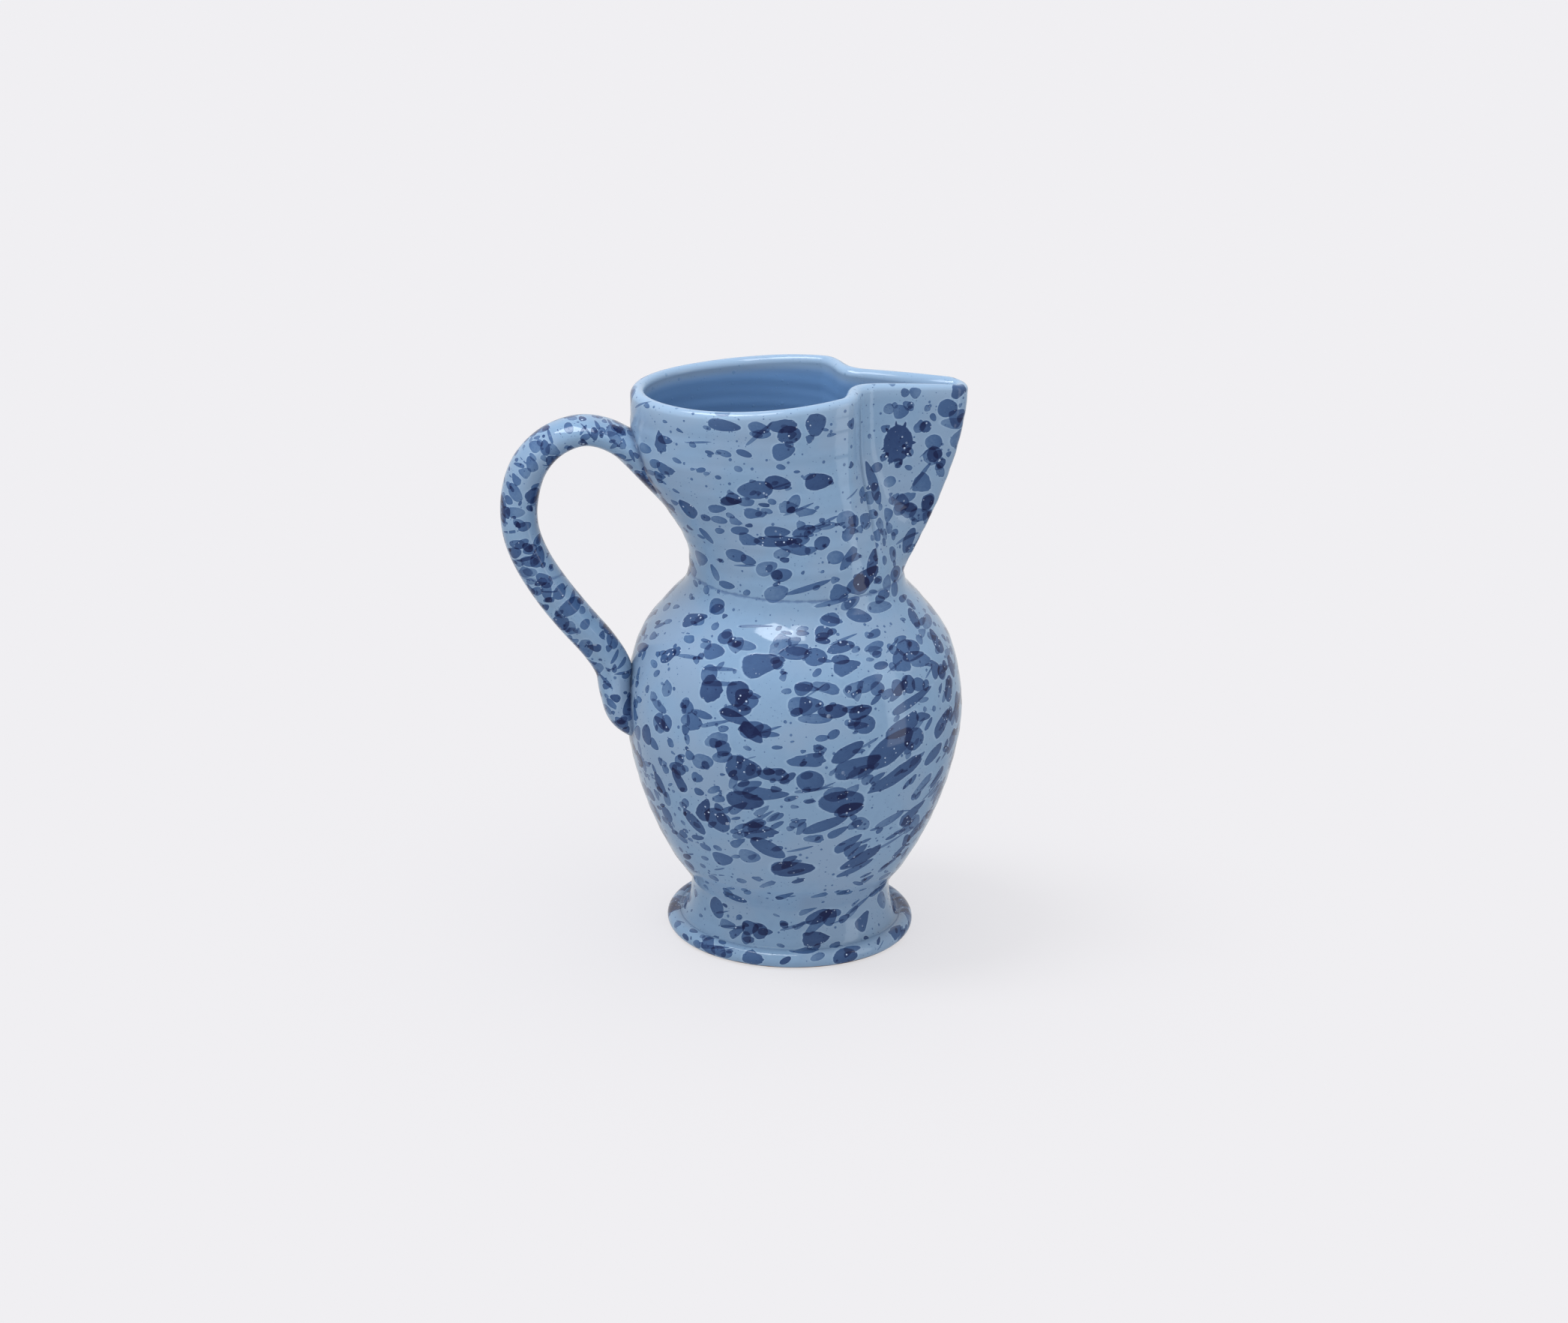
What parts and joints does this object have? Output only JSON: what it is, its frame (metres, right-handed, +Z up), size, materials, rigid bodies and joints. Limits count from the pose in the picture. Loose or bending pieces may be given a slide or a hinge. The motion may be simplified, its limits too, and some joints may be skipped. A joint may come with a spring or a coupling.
{
  "type": "ceramic pitcher",
  "caption": "Glazed ceramic pitcher: round belly on a rolled foot, flaring oval collar pinched into a V-shaped pouring spout, and one strap handle.",
  "frame": {"origin": "centre of the foot's ring on the plane that the pitcher rests on", "axes": "+Z up along the axis of the foot and belly, +X towards the tip of the spout, handle at -X, the plane y = 0 is the plane of symmetry"},
  "size_m": [0.2001, 0.146, 0.25],
  "materials": {
    "foot_glaze": "clear gloss over pale blue with dark blue splatter, bare clay line at the resting edge",
    "belly_glaze": "clear gloss over pale blue with dark blue splatter",
    "collar_glaze": "clear gloss over pale blue with dark blue splatter, plain blue inside",
    "spout_glaze": "clear gloss over pale blue with dark blue splatter, plain blue inside",
    "handle_glaze": "clear gloss over pale blue with dark blue splatter"
  },
  "bodies": {
    "root": {"foot": "foot_glaze", "belly": "belly_glaze", "collar": "collar_glaze", "spout": "spout_glaze", "handle": "handle_glaze"}
  },
  "joints": []
}
